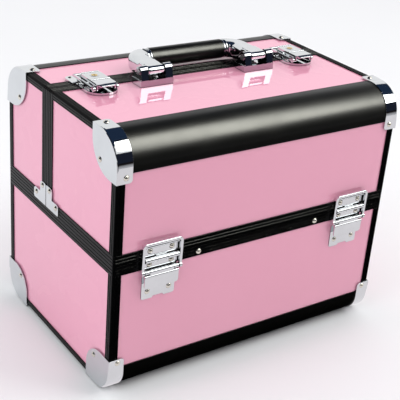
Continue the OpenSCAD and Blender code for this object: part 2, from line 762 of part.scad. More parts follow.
// thumb lever: a shallow inverted channel with a slim lip in front, rounded in plan
module lock_lever() {
  half = thumb_w / 2;
  nose = lever_front;
  rear = lock_pin_y + 6.4;
  difference() {
    union() {
      intersection() {
        along_x(-half, half) {
          polygon([[nose + 1, thumb_z - 2.4], [nose + 4, thumb_z - thumb_t],
            [rear, thumb_z - thumb_t], [rear, thumb_z], [nose + 3.4, thumb_z],
            [nose, thumb_z - 1.6]]);
          translate([nose + 0.8, thumb_z - 1.9]) circle(0.9);
          translate([rear - 1, thumb_z - 1.1]) circle(1.3);
          // two ridges across the top, behind and in front of the key
          translate([rear - 1.2, thumb_z]) circle(0.7);
          translate([ridge_y, thumb_z - 0.2]) circle(0.9);
        }
        along_z(thumb_z - 4, thumb_z + 1)
          round_box2(-half, nose - 0.3, half, rear + 0.6, 6, 6, 5.5, 5.5);
      }
      for (s = [0, 1]) mirror([s, 0, 0]) along_x(half - 1.4, half) {
        box2(nose + 6.5, thumb_z - 3, rear - 5, thumb_z - 1);
        round_box2(lock_pin_y - 3, lock_pin_z - 2.6, lock_pin_y + 1.4, thumb_z - 1, 2, 2, 0, 0);
        round_box2(bail_y - 2.8, bail_z - 2.4, bail_y + 2.8, thumb_z - 1, 2, 2, 0, 0);
      }
      // boss around the key
      translate([0, key_y, thumb_z - 2.6]) cylinder(h = 2.8, r = 4.8);
      // studs that carry the bail
      for (s = [0, 1]) mirror([s, 0, 0]) rod_x(half - 1, bail_half + bail_r + 0.3, bail_y, bail_z, 1);
    }
    rod_x(-half - 1, half + 1, lock_pin_y, lock_pin_z, pin_r + fit);
    translate([0, key_y, thumb_z - 3]) cylinder(h = 4, r = 3.3);
  }
}
module lock_lever_left() color("#d7dade") translate([-lock_x, 0, 0]) lock_lever();
module lock_lever_right() color("#d7dade") translate([lock_x, 0, 0]) lock_lever();
// key cylinder with its slot
module lock_key() {
  translate([0, key_y, 0]) difference() {
    union() {
      translate([0, 0, thumb_z - 2.6]) cylinder(h = 3, r = 3.3);
      translate([0, 0, thumb_z - 3.6]) cylinder(h = 1.2, r = 2.4);
    }
    translate([-0.4, -1.9, thumb_z - 1.4]) cube([0.8, 3.8, 3]);
  }
}
module lock_key_left() color("#c6a84e") translate([-lock_x, 0, 0]) lock_key();
module lock_key_right() color("#c6a84e") translate([lock_x, 0, 0]) lock_key();
// bail: two straps that turn on the lever studs, joined behind by the bar that drops over the strike
module lock_bail() {
  strap = bail_half - bail_r;
  difference() {
    union() {
      for (s = [0, 1]) mirror([s, 0, 0]) along_x(strap, strap + 2 * bail_r) {
        translate([bail_y, bail_z]) circle(2.9);
        polygon([[bail_y, bail_z - 1.6], [bar_y, bar_z - 1.1], [bar_y, bar_z + 1.1],
          [bail_y, bail_z + 1.6]]);
        translate([bar_y, bar_z]) circle(bail_r + 0.15);
      }
      rod_x(-strap - 1, strap + 1, bar_y, bar_z, bail_r + 0.15);
    }
    rod_x(-lock_w, lock_w, bail_y, bail_z, 1 + fit);
  }
}
module lock_bail_left() color("#d7dade") translate([-lock_x, 0, 0]) lock_bail();
module lock_bail_right() color("#d7dade") translate([lock_x, 0, 0]) lock_bail();
// strike on the rear lid: stepped plate with a raised lip in front of the bail bar
module lock_strike() {
  half = 20;
  front = seam_y + half_gap + 0.4;
  back = seam_y + 21.6;
  step = -rear_s + rim_h + 0.8;
  difference() {
    union() {
      along_z(case_h, case_h + 1.6) round_box2(-half, front, half, back, 2, 2, 6, 6);
      along_z(panel_z, case_h + 0.1) round_box2(-half, step, half, back, 0, 0, 6, 6);
      along_x(-lip_half, lip_half)
        polygon([[bar_y - 4.6, case_h + 1], [bar_y - 3.9, case_h + 5.1], [bar_y - 2.6, case_h + 5.1],
          [bar_y - 2.2, case_h + 1]]);
    }
    for (dx = [-1, 1]) translate([dx * 14.5, seam_y + 17.5, case_h]) cylinder(h = 4, r = 0.9);
  }
}
module lock_strikes() color("#d7dade") both_x() translate([lock_x, 0, 0]) lock_strike();

// handle ----------------------------------------------------------------------------------------
// side view of a bracket cheek in Y and Z, its origin under the turning pin
module cheek2() {
  up = bracket_h - cheek_r;
  polygon([[-7, -rail_t], [12.5, -rail_t], [12.5, bracket_foot - 0.6], [10.9, bracket_foot + 1.1],
    [4.6, up + 2.5], [0.3, up], [-4.57, up + 1.14], [-6.75, bracket_foot + 0.6],
    [-7, bracket_foot]]);
  translate([0.3, up]) circle(cheek_r);
}
module handle_bracket() {
  half = bracket_w / 2 + 0.4;
  difference() {
    union() {
      translate([0, turn_y, case_h]) both_x() along_x(slot_half, cheek_half) cheek2();
      // foot block under both cheeks, its front face leaning back a little
      intersection() {
        along_z(panel_z, case_h + bracket_foot)
          round_box2(-half, turn_y - 7.5, half, turn_y + 12.5, 1, 1, 2, 2);
        along_x(-half - 1, half + 1) polygon([[turn_y - 7.5, panel_z - 1], [turn_y + 13, panel_z - 1],
          [turn_y + 13, case_h + bracket_foot], [turn_y - 7, case_h + bracket_foot]]);
      }
    }
    rod_x(-half - 1, half + 1, turn_y, turn_z, turn_r);
    // hollow underside of the casting
    translate([-half + 2, turn_y - 5.5, panel_z - 1]) cube([2 * half - 4, 16, 3.4]);
  }
}
module handle_brackets() color("#d7dade") both_x() translate([grip_x, 0, 0]) handle_bracket();
module front_lid_pins() color("#b9bcc0") both_x() {
  // pins of the handle brackets, with their heads
  rod_x(grip_x - cheek_half, grip_x + cheek_half, turn_y, turn_z, turn_r);
  rod_x(grip_x - cheek_half - 0.9, grip_x - cheek_half, turn_y, turn_z, 3.3);
  rod_x(grip_x + cheek_half, grip_x + cheek_half + 0.9, turn_y, turn_z, 3.3);
  // pins of the lock levers
  rod_x(lock_x - thumb_w / 2 - 0.2, lock_x + thumb_w / 2 + 0.2, lock_pin_y, lock_pin_z, pin_r);
}
// flattened section of the elbow in its own plane
module elbow2() {
  round_box2(-grip_r, -elbow_up, grip_r, elbow_up, 6, 6, 6, 6);
}
// one arm of the handle: a neck between the cheeks that bends inward to the grip
module handle_arm() {
  half = arm_w / 2;
  bend_y = grip_y - bend_r;
  difference() {
    union() {
      intersection() {
        union() {
          along_y(turn_y - barrel, bend_y) round_box2(-half, turn_z - 10, half, turn_z + 9, 0, 0, 4, 4);
          translate([-bend_x, 0, grip_z]) along_y(turn_y + 14.5, bend_y) elbow2();
        }
        // side view: barrel on the pin, neck rising a little, deeper towards the bend
        along_x(-half - 4, half + 4) {
          translate([turn_y, turn_z]) circle(barrel);
          polygon([[turn_y, turn_z - barrel], [turn_y + 14.5, turn_z - barrel],
            [bend_y - 3, grip_z - elbow_up], [bend_y + 1, grip_z - elbow_up],
            [bend_y + 1, grip_z + elbow_up], [bend_y - 3, grip_z + elbow_up],
            [turn_y, turn_z + barrel]]);
        }
        // plan: the neck gives way to the bend
        union() {
          along_z(case_h, case_h + 40) box2(-half, turn_y - barrel, half, turn_y + 16);
          translate([-bend_x, 0, grip_z]) along_y(turn_y + 14.5, bend_y) elbow2();
        }
      }
      translate([-bend_x - bend_r, bend_y, grip_z]) rotate_extrude(angle = 90)
        translate([bend_r, 0]) elbow2();
    }
    rod_x(-half - 1, half + 1, turn_y, turn_z, turn_r + fit);
    // seat of the grip core
    rod_x(-bend_x - bend_r - 1, -bend_x - bend_r + 6, grip_y, grip_z, core_r);
  }
}
module handle_arms() color("#d7dade") both_x() translate([grip_x, 0, 0]) handle_arm();
// chrome end ring of the grip: two beads with a groove between them
module handle_collars() color("#d7dade") both_x() difference() {
  translate([grip_half, grip_y, grip_z]) rotate([0, 90, 0]) rotate_extrude()
    polygon([[0, 0], [grip_r - 0.5, 0], [grip_r - 0.1, 0.6], [grip_r - 0.1, 1.9],
      [grip_r - 1.1, 2.5], [grip_r - 1.1, 3.2], [grip_r - 0.1, 3.8], [grip_r - 0.1, collar_w],
      [0, collar_w]]);
  rod_x(0, grip_x, grip_y, grip_z, core_r);
}
module handle_grip() color("#101012") {
  rod_x(-grip_half, grip_half, grip_y, grip_z, grip_r);
  rod_x(-socket_x - 5.8, socket_x + 5.8, grip_y, grip_z, core_r);
}

// trays and arms --------------------------------------------------------------------------------
// flat link drawn upright from its foot at the origin, then leaned back
module tray_link() {
  rotate([-link_lean, 0, 0]) along_x(link_x, link_x + link_t) difference() {
    union() {
      circle(link_w / 2);
      translate([0, top_reach]) circle(link_w / 2);
      box2(-link_w / 2, 0, link_w / 2, top_reach);
    }
    circle(stud_r + fit);
    translate([0, low_reach]) circle(stud_r + fit);
    translate([0, top_reach]) circle(stud_r + fit);
  }
}
module front_link(root) {
  both_x() translate([0, -root, root_z]) tray_link();
}
module front_arms_outer() color("#b9bcc0") front_link(root_a);
module front_arms_inner() color("#b9bcc0") front_link(root_b);
module rear_arms_outer() color("#b9bcc0") to_rear() front_link(root_a);
module rear_arms_inner() color("#b9bcc0") to_rear() front_link(root_b);
// open tray with a rolled rim, two cross walls and the studs that hang on the links
module tray(pin_z, height) {
  floor_z = pin_z - pin_up;
  reach = (pin_z - root_z) * tan(link_lean);
  difference() {
    union() {
      along_z(floor_z, floor_z + height) tray_plan(0);
      along_z(floor_z + height - 2.2, floor_z + height) tray_plan(-1.2);
    }
    along_z(floor_z + tray_t, floor_z + height + 1) difference() {
      tray_plan(tray_t);
      for (x = [-tray_half / 3, tray_half / 3]) translate([x - tray_t / 2, -tray_front])
        square([tray_t, tray_d]);
      translate([-tray_half / 3, -tray_front + tray_d / 2]) square([tray_half * 2 / 3, tray_t]);
    }
    // the cross walls stop below the rim
    along_z(floor_z + height - 5, floor_z + height + 1) tray_plan(tray_t);
  }
  both_x() for (root = [root_a, root_b]) {
    rod_x(tray_half - 1, link_x - 0.2, -root + reach, pin_z, 4.2);
    rod_x(tray_half - 1, link_x + link_t + 0.3, -root + reach, pin_z, stud_r);
    rod_x(link_x + link_t + 0.15, link_x + link_t + 0.8, -root + reach, pin_z, 2.8);
  }
}
module tray_plan(i) {
  r = 7 - i;
  round_box2(-(tray_half - i), -(tray_front - i), tray_half - i, -(tray_back + i), r, r, r, r);
}
module tray_front_lower() color("#2c2c30") tray(low_pin_z, low_h);
module tray_front_upper() color("#2c2c30") tray(top_pin_z, top_h);
module tray_rear_lower() color("#2c2c30") to_rear() tray(low_pin_z, low_h);
module tray_rear_upper() color("#2c2c30") to_rear() tray(top_pin_z, top_h);

// drawing ---------------------------------------------------------------------------------------
base_boards();
base_lining();
base_rim_rails();
base_edge_rails();
base_round_profiles();
base_corner_caps();
base_rivets();
latch_base_plates();
latch_pins();
arm_studs();
rubber_feet();
front_lid_boards();
front_lid_lining();
front_lid_rim_rails();
front_lid_edge_rails();
front_lid_round_profile();
front_lid_corner_caps();
front_lid_seam_plates();
front_hinge_leaves();
front_lid_rivets();
lock_housings();
front_lid_pins();
handle_brackets();
rear_lid_boards();
rear_lid_lining();
rear_lid_rim_rails();
rear_lid_edge_rails();
rear_lid_round_profile();
rear_lid_corner_caps();
rear_lid_seam_plates();
rear_hinge_leaves();
rear_lid_rivets();
lock_strikes();
handle_arms();
handle_collars();
handle_grip();
lock_lever_left();
lock_lever_right();
lock_key_left();
lock_key_right();
lock_bail_left();
lock_bail_right();
latch_lever_front_left();
latch_lever_front_right();
latch_lever_rear_left();
latch_lever_rear_right();
latch_loop_front_left();
latch_loop_front_right();
latch_loop_rear_left();
latch_loop_rear_right();
front_arms_outer();
front_arms_inner();
rear_arms_outer();
rear_arms_inner();
tray_front_lower();
tray_front_upper();
tray_rear_lower();
tray_rear_upper();
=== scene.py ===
"""Looks of the double-opening vanity case: finishes, rounded metal parts, camera and studio.

Lengths are in metres, in the frame of the CAD model: X along the front, Y to the rear, Z up.
"""
import json
import math

import bpy
from mathutils import Matrix, Vector

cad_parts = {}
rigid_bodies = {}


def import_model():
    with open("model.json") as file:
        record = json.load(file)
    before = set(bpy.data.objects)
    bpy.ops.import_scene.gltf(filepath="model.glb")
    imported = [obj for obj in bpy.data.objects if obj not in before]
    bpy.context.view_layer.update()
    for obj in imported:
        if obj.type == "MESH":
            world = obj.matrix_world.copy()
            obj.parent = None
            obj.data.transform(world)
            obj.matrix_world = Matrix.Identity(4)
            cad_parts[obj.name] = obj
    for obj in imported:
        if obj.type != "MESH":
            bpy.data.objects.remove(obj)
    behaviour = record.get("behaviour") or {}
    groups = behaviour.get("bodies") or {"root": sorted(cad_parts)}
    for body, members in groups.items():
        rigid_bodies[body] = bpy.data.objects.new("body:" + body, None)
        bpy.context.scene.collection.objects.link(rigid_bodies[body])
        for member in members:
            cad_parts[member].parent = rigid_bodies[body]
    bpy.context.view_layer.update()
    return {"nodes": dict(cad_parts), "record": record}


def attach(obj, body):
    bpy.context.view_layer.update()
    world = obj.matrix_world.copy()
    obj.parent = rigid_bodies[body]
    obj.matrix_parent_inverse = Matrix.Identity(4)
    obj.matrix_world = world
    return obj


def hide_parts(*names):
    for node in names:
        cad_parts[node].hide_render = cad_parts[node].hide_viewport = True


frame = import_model()
NODES = frame["nodes"]
scene = bpy.context.scene

# sizes of the case that the pressed corners follow ------------------------------------------------
MM = 0.001
HALF_W = 176.5 * MM
HALF_D = 120.0 * MM
CASE_H = 287.0 * MM
FOOT_H = 1.5 * MM
TOP_R = 30.0 * MM
LOW_R = 26.0 * MM
SHEET = 1.0 * MM
CAP_Y = HALF_D - 46.6 * MM
CAP_TOP_Z = CASE_H - 45.6 * MM
CAP_LOW_Z = FOOT_H + 43.0 * MM

# rounding of the metal and plastic parts, by slot or by node --------------------------------------
ROUNDING = {
    "chrome": 0.30 * MM, "black_rail": 0.30 * MM, "link_steel": 0.2 * MM, "tray_black": 0.35 * MM}
CAST = {"handle_brackets": 0.7 * MM}
RIM = 2.4 * MM  # the long outer edge of the pressed corners
RIM_SEGMENTS = 5
EDGE_SEGMENTS = 2
SHARP = math.radians(32.0)  # edges that turn further are rounded
SMOOTH = math.radians(40.0)  # edges that turn less are shaded smooth
COPLANAR = math.radians(0.4)  # faces that turn less against each other become one
WELD = 0.004 * MM  # points of a CAD mesh that lie closer are one
FACE_WEIGHT = 80
MELTED = {"handle_arms": 0.5 * MM}  # castings made one skin, with the size of its cells
RELAX_FACTOR = 0.55
RELAX_PASSES = 60

# camera: place, aim in radians and lens, fitted to the edges of the case in the photograph --------
EYE = (-0.587216, -0.816142, 0.627576)
YAW, PITCH, ROLL = 0.629, 0.455, 0.084
FOCAL_PX = 971.404
PHOTO_PX = 400.0
SENSOR_MM = 36.0
CLIP_NEAR, CLIP_FAR = 0.01, 60.0


def place_camera():
    """The camera stands where the photograph was taken from."""
    ahead = Vector((
        math.sin(YAW) * math.cos(PITCH), math.cos(YAW) * math.cos(PITCH), -math.sin(PITCH)))
    level = Vector((math.cos(YAW), -math.sin(YAW), 0.0))
    over = level.cross(ahead)
    right = math.cos(ROLL) * level + math.sin(ROLL) * over
    up = -math.sin(ROLL) * level + math.cos(ROLL) * over
    lens = bpy.data.cameras.new("camera")
    lens.sensor_fit = "HORIZONTAL"
    lens.sensor_width = SENSOR_MM
    lens.lens = FOCAL_PX / PHOTO_PX * SENSOR_MM
    lens.clip_start = CLIP_NEAR
    lens.clip_end = CLIP_FAR
    camera = bpy.data.objects.new("camera", lens)
    scene.collection.objects.link(camera)
    turn = Matrix((right, up, -ahead)).transposed().to_4x4()
    camera.matrix_world = Matrix.Translation(EYE) @ turn
    scene.camera = camera


# node helpers -------------------------------------------------------------------------------------
FLOAT, COLOUR, VECTOR = "NodeSocketFloat", "NodeSocketColor", "NodeSocketVector"
WHITE = (1.0, 1.0, 1.0, 1.0)


def feed(tree, value, socket):
    """Gives a socket a constant, or links another socket to it."""
    if isinstance(value, bpy.types.NodeSocket):
        tree.links.new(value, socket)
    else:
        socket.default_value = value


def ranged(tree, value, low, high, to_low, to_high):
    """Maps a value from one range to another; the ends are numbers or sockets."""
    node = tree.nodes.new("ShaderNodeMapRange")
    feed(tree, value, node.inputs["Value"])
    feed(tree, low, node.inputs["From Min"])
    feed(tree, high, node.inputs["From Max"])
    feed(tree, to_low, node.inputs["To Min"])
    feed(tree, to_high, node.inputs["To Max"])
    return node.outputs["Result"]


def mixed(tree, share, first, second, blend="MIX"):
    """Mixes two colours by a share; each of the three is a constant or a socket."""
    node = tree.nodes.new("ShaderNodeMix")
    node.data_type = "RGBA"
    node.blend_type = blend
    feed(tree, share, node.inputs["Factor"])
    feed(tree, first, node.inputs["A"])
    feed(tree, second, node.inputs["B"])
    return node.outputs["Result"]


def noise(tree, place, scale, **settings):
    """A noise pattern over a place; the settings are its other inputs by name."""
    node = tree.nodes.new("ShaderNodeTexNoise")
    feed(tree, place, node.inputs["Vector"])
    feed(tree, scale, node.inputs["Scale"])
    for key, value in settings.items():
        feed(tree, value, node.inputs[key])
    return node.outputs["Fac"]


def group_tree(name, inputs, output, kind):
    """An empty node group with a place, some more inputs and one output."""
    tree = bpy.data.node_groups.new(name, "ShaderNodeTree")
    tree.interface.new_socket("Place", in_out="INPUT", socket_type=VECTOR)
    for key, input_kind, value in inputs:
        socket = tree.interface.new_socket(key, in_out="INPUT", socket_type=input_kind)
        socket.default_value = value
    tree.interface.new_socket(output, in_out="OUTPUT", socket_type=kind)
    return tree, tree.nodes.new("NodeGroupInput"), tree.nodes.new("NodeGroupOutput")


def make_tone_drift():
    """Slow drift of a colour over a piece, between a light and a deep tone."""
    inputs = [("Light", COLOUR, WHITE), ("Deep", COLOUR, (0.5, 0.5, 0.5, 1.0)), ("Scale", FLOAT, 6.0)]
    tree, source, sink = group_tree("tone_drift", inputs, "Colour", COLOUR)
    cloud = noise(tree, source.outputs["Place"], source.outputs["Scale"], Detail=3.0)
    share = ranged(tree, cloud, low=0.3, high=0.7, to_low=0.0, to_high=1.0)
    tone = mixed(tree, share, source.outputs["Light"], source.outputs["Deep"])
    feed(tree, tone, sink.inputs["Colour"])
    return tree


def make_handling():
    """Faint finger marks: patches of slightly duller gloss."""
    inputs = [("Scale", FLOAT, 30.0), ("Clean", FLOAT, 0.05), ("Dull", FLOAT, 0.12)]
    tree, source, sink = group_tree("handling_marks", inputs, "Roughness", FLOAT)
    patch = noise(
        tree, source.outputs["Place"], source.outputs["Scale"], Detail=5.0, Distortion=0.6)
    clean, dull = source.outputs["Clean"], source.outputs["Dull"]
    rough = ranged(tree, patch, low=0.42, high=0.78, to_low=clean, to_high=dull)
    feed(tree, rough, sink.inputs["Roughness"])
    return tree


def make_grain():
    """Even grain, for anodised skin, moulded plastic and foam; stretched, it gives drawing lines."""
    inputs = [("Scale", FLOAT, 900.0), ("Stretch", VECTOR, (1.0, 1.0, 1.0))]
    tree, source, sink = group_tree("fine_grain", inputs, "Height", FLOAT)
    pull = tree.nodes.new("ShaderNodeVectorMath")
    pull.operation = "MULTIPLY"
    feed(tree, source.outputs["Place"], pull.inputs[0])
    feed(tree, source.outputs["Stretch"], pull.inputs[1])
    grain = noise(tree, pull.outputs[0], source.outputs["Scale"], Detail=4.0, Roughness=0.65)
    feed(tree, grain, sink.inputs["Height"])
    return tree


def make_painted_crease_shade():
    """Painted shade: darkens a plated colour where pieces meet or overlap, as the shade in a crease
    would.
    """
    inputs = [("Tone", COLOUR, WHITE), ("Reach", FLOAT, 2.6 * MM), ("Depth", FLOAT, 0.12)]
    tree, source, sink = group_tree("painted_crease_shade", inputs, "Colour", COLOUR)
    # painted shade: ambient occlusion within a few millimetres darkens the colour in creases and
    # under overlapping parts
    nook = tree.nodes.new("ShaderNodeAmbientOcclusion")
    nook.samples = 8
    feed(tree, source.outputs["Reach"], nook.inputs["Distance"])
    depth = source.outputs["Depth"]
    shade = ranged(tree, nook.outputs["AO"], low=0.4, high=0.88, to_low=depth, to_high=1.0)
    tone = mixed(tree, 1.0, source.outputs["Tone"], shade, blend="MULTIPLY")
    feed(tree, tone, sink.inputs["Colour"])
    return tree


TONE = make_tone_drift()
MARKS = make_handling()
GRAIN = make_grain()
PAINTED_CREASE_SHADE = make_painted_crease_shade()


# finishes -----------------------------------------------------------------------------------------
class Finish:
    """One material with a Principled shader; its patterns follow the place on the object."""

    def __init__(self, name, **constants):
        self.material = bpy.data.materials.new(name)
        self.material.use_nodes = True
        self.tree = self.material.node_tree
        self.shader = self.tree.nodes["Principled BSDF"]
        for socket, value in constants.items():
            self.shader.inputs[socket.replace("_", " ")].default_value = value
        self.place = self.tree.nodes.new("ShaderNodeTexCoord").outputs["Object"]

    def group(self, tree, output, **values):
        """One output of a shared node group, fed with constants or sockets by name."""
        node = self.tree.nodes.new("ShaderNodeGroup")
        node.node_tree = tree
        feed(self.tree, self.place, node.inputs["Place"])
        for key, value in values.items():
            feed(self.tree, value, node.inputs[key])
        return node.outputs[output]

    def drive(self, out, socket):
        """Links a pattern to an input of the shader."""
        self.tree.links.new(out, self.shader.inputs[socket])

    def tone(self, light, deep, scale):
        """A colour that drifts between a light and a deep tone."""
        return self.group(TONE, "Colour", Light=light, Deep=deep, Scale=scale)

    def gloss(self, clean, dull, scale):
        """Roughness between clean places and finger marks."""
        marks = self.group(MARKS, "Roughness", Clean=clean, Dull=dull, Scale=scale)
        self.drive(marks, "Roughness")

    def bump(self, height, strength, distance):
        """Relief of the surface from a pattern of heights."""
        node = self.tree.nodes.new("ShaderNodeBump")
        feed(self.tree, strength, node.inputs["Strength"])
        feed(self.tree, distance, node.inputs["Distance"])
        feed(self.tree, height, node.inputs["Height"])
        self.drive(node.outputs["Normal"], "Normal")


def darker(colour, share):
    return tuple(channel * share for channel in colour[:3]) + (1.0,)


def plated(name, colour, clean, dull, wave, wave_scale):
    """Bright plating over pressed sheet or casting: sharp gloss, painted shade in its creases, a slow
    wave and finger marks.
    """
    plating = Finish(name, Metallic=1.0, Base_Color=colour)
    tone = plating.tone(colour, darker(colour, 0.93), scale=40.0)
    # painted shade: the plated colour is darkened in creases and under overlapping parts
    plating.drive(plating.group(PAINTED_CREASE_SHADE, "Colour", Tone=tone), "Base Color")
    plating.gloss(clean, dull, scale=70.0)
    slow = plating.group(GRAIN, "Height", Scale=wave_scale)
    plating.bump(slow, strength=wave, distance=0.4 * MM)
    return plating.material


def pink_laminate():
    """High-gloss laminate: pink under a clear layer, with the faint wave of a board behind it."""
    light, deep = (0.835, 0.360, 0.492, 1.0), (0.822, 0.349, 0.479, 1.0)
    laminate = Finish("pink_laminate", Roughness=0.3, IOR=1.06,
                      Coat_Weight=1.0, Coat_Roughness=0.015, Coat_IOR=1.75)
    laminate.drive(laminate.tone(light, deep, scale=7.0), "Base Color")
    laminate.gloss(clean=0.2, dull=0.4, scale=24.0)
    wave = laminate.group(GRAIN, "Height", Scale=46.0)
    laminate.bump(wave, strength=0.05, distance=0.6 * MM)
    return laminate.material


def anodised(name, base, ior, clean, dull, stretch, lines):
    """Black anodised aluminium: a thin satin skin, with the drawing lines of a stretched grain."""
    skin = Finish(name, IOR=ior, Base_Color=base)
    skin.drive(skin.tone(base, darker(base, 0.7), scale=60.0), "Base Color")
    skin.gloss(clean, dull, scale=40.0)
    drawn = skin.group(GRAIN, "Height", Scale=lines, Stretch=stretch)
    skin.bump(drawn, strength=0.05, distance=0.1 * MM)
    return skin.material


def moulded(name, base, clean, dull, grain, depth, ior=1.4):
    """Moulded plastic or rubber with an even grain."""
    plastic = Finish(name, IOR=ior, Base_Color=base)
    plastic.drive(plastic.tone(base, darker(base, 0.8), scale=35.0), "Base Color")
    plastic.gloss(clean, dull, scale=50.0)
    plastic.bump(plastic.group(GRAIN, "Height", Scale=grain), strength=depth, distance=0.2 * MM)
    return plastic.material


def foam_lining():
    """Matt black foam: open cells with a fine grain, and a sheen at a low angle."""
    base = (0.016, 0.016, 0.018, 1.0)
    foam = Finish("foam_lining", Roughness=0.9, IOR=1.35, Sheen_Weight=0.2, Sheen_Roughness=0.4)
    foam.drive(foam.tone(base, darker(base, 0.6), scale=90.0), "Base Color")
    cells = foam.tree.nodes.new("ShaderNodeTexVoronoi")
    feed(foam.tree, foam.place, cells.inputs["Vector"])
    feed(foam.tree, 750.0, cells.inputs["Scale"])
    relief = foam.tree.nodes.new("ShaderNodeMath")
    relief.operation = "ADD"
    feed(foam.tree, cells.outputs["Distance"], relief.inputs[0])
    feed(foam.tree, foam.group(GRAIN, "Height", Scale=300.0), relief.inputs[1])
    foam.bump(relief.outputs[0], strength=0.5, distance=0.3 * MM)
    return foam.material


# by the material slots of the record
FINISHES = {
    "pink_laminate": pink_laminate(),
    "black_lining": foam_lining(),
    "black_rail": anodised(
        "anodised_rail", base=(0.0014, 0.0014, 0.0016, 1.0), ior=1.22,
        clean=0.22, dull=0.30, stretch=(1, 1, 1), lines=1800.0),
    "black_round_profile": anodised(
        "anodised_round_profile", base=(0.0014, 0.0014, 0.0013, 1.0), ior=1.33,
        clean=0.32, dull=0.37, stretch=(0.04, 1, 1), lines=1500.0),
    "rivet_steel": plated(
        "rivet_nickel", colour=(0.74, 0.71, 0.63, 1.0),
        clean=0.16, dull=0.28, wave=0.05, wave_scale=300.0),
    "pin_steel": plated(
        "pin_steel", colour=(0.60, 0.60, 0.62, 1.0),
        clean=0.22, dull=0.34, wave=0.05, wave_scale=400.0),
    "foot_rubber": moulded(
        "foot_rubber", base=(0.010, 0.010, 0.011, 1.0),
        clean=0.6, dull=0.75, grain=900.0, depth=0.3),
    "key_brass": plated(
        "key_brass", colour=(0.72, 0.53, 0.22, 1.0),
        clean=0.14, dull=0.25, wave=0.05, wave_scale=300.0),
    "black_grip": moulded(
        "grip_plastic", base=(0.0018, 0.0018, 0.002, 1.0),
        clean=0.28, dull=0.36, grain=1200.0, depth=0.04, ior=1.28),
    "link_steel": plated(
        "link_zinc", colour=(0.62, 0.63, 0.66, 1.0),
        clean=0.26, dull=0.40, wave=0.1, wave_scale=500.0),
    "tray_black": moulded(
        "tray_plastic", base=(0.014, 0.014, 0.015, 1.0),
        clean=0.42, dull=0.55, grain=1400.0, depth=0.35),
    "chrome": plated(
        "chrome_plate", colour=(0.71, 0.73, 0.75, 1.0),
        clean=0.035, dull=0.08, wave=0.05, wave_scale=34.0),
}
RAIL_BLACK = [FINISHES["black_rail"]]
SATIN_BLACK = RAIL_BLACK + [FINISHES["black_round_profile"], FINISHES["black_grip"]]


# mesh helpers -------------------------------------------------------------------------------------
def activate(obj):
    bpy.ops.object.select_all(action="DESELECT")
    obj.select_set(True)
    bpy.context.view_layer.objects.active = obj


def apply_modifiers(obj):
    activate(obj)
    for modifier in list(obj.modifiers):
        bpy.ops.object.modifier_apply(modifier=modifier.name)


def paint(obj, slot):
    obj.data.materials.clear()
    obj.data.materials.append(FINISHES[slot])


def copy_of(node, name):
    """A smooth copy of a CAD part, with its seams welded and its flat faces whole."""
    piece = bpy.data.objects.new(name, NODES[node].data.copy())
    piece.data.name = name
    scene.collection.objects.link(piece)
    activate(piece)
    bpy.ops.object.mode_set(mode="EDIT")
    bpy.ops.mesh.select_all(action="SELECT")
    bpy.ops.mesh.remove_doubles(threshold=WELD)
    bpy.ops.mesh.dissolve_limited(angle_limit=COPLANAR)
    bpy.ops.object.mode_set(mode="OBJECT")
    bpy.ops.object.shade_smooth()
    return piece


def on_outline(point):
    """Whether a point lies on the outer face of a pressed corner, clear of its two free ends."""
    y, z = abs(point.y), point.z
    clear = 2.2 * MM
    if CAP_LOW_Z - clear < z < CAP_TOP_Z + clear or y < CAP_Y + clear:
        return False
    outside = 0.8 * SHEET
    top, low = CASE_H - TOP_R, FOOT_H + LOW_R
    for level, radius, beyond in ((top, TOP_R, z > top), (low, LOW_R, z < low)):
        inward = y - (HALF_D - radius)
        if beyond and inward > 0:
            return math.hypot(inward, z - level) > radius + outside
    return y > HALF_D + outside or z > CASE_H + outside or z < FOOT_H - outside


def roll_rims(piece, width):
    """Rounds the long outer edge of pressed corners, where the end plate turns into the band."""
    mesh = piece.data
    near = 0.05 * MM
    weights = mesh.attributes.new("bevel_weight_edge", "FLOAT", "EDGE")
    for edge in mesh.edges:
        ends = [mesh.vertices[corner].co for corner in edge.vertices]
        on_end = all(abs(abs(point.x) - HALF_W - SHEET) < near for point in ends)
        rim = on_end and all(on_outline(point) for point in ends)
        weights.data[edge.index].value = 1.0 if rim else 0.0
    roll = piece.modifiers.new("rim", "BEVEL")
    roll.width = width
    roll.segments = RIM_SEGMENTS
    roll.limit_method = "WEIGHT"
    roll.use_clamp_overlap = False
    apply_modifiers(piece)


def round_edges(piece, width):
    """Rounds all sharp edges over and keeps the faces between them flat."""
    edge = piece.modifiers.new("edges", "BEVEL")
    edge.width = width
    edge.segments = EDGE_SEGMENTS
    edge.limit_method = "ANGLE"
    edge.angle_limit = SHARP
    apply_modifiers(piece)
    bpy.ops.object.shade_smooth_by_angle(angle=SMOOTH)
    weight = piece.modifiers.new("flat faces", "WEIGHTED_NORMAL")
    weight.keep_sharp = True
    weight.weight = FACE_WEIGHT
    apply_modifiers(piece)


def melt(piece, voxel):
    """Turns a casting into one soft skin: its edges run over as on a polished die casting."""
    skin = piece.modifiers.new("skin", "REMESH")
    skin.mode = "VOXEL"
    skin.voxel_size = voxel
    skin.use_smooth_shade = True
    relax = piece.modifiers.new("relax", "SMOOTH")
    relax.factor = RELAX_FACTOR
    relax.iterations = RELAX_PASSES
    apply_modifiers(piece)


# CAD parts ----------------------------------------------------------------------------------------
def dress_parts():
    """Gives every CAD part its finish; the parts of a rounded slot are replaced by a shaped copy."""
    record = frame["record"]
    slots = {row["node"]: row["material_slot"] for row in record["subparts"]}
    bodies = record["behaviour"]["bodies"]
    body_of = {node: body for body, members in bodies.items() for node in members}
    for node, part in NODES.items():
        slot = slots[node]
        paint(part, slot)
        if slot not in ROUNDING:
            continue
        piece = copy_of(node, "formed_" + node)
        if node in MELTED:
            melt(piece, MELTED[node])
        else:
            if node.endswith("corner_caps"):
                roll_rims(piece, RIM)
            round_edges(piece, CAST.get(node, ROUNDING[slot]))
        paint(piece, slot)
        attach(piece, body_of[node])
        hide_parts(node)


# studio -------------------------------------------------------------------------------------------
MIDDLE = (0.0, 0.0, 0.15)


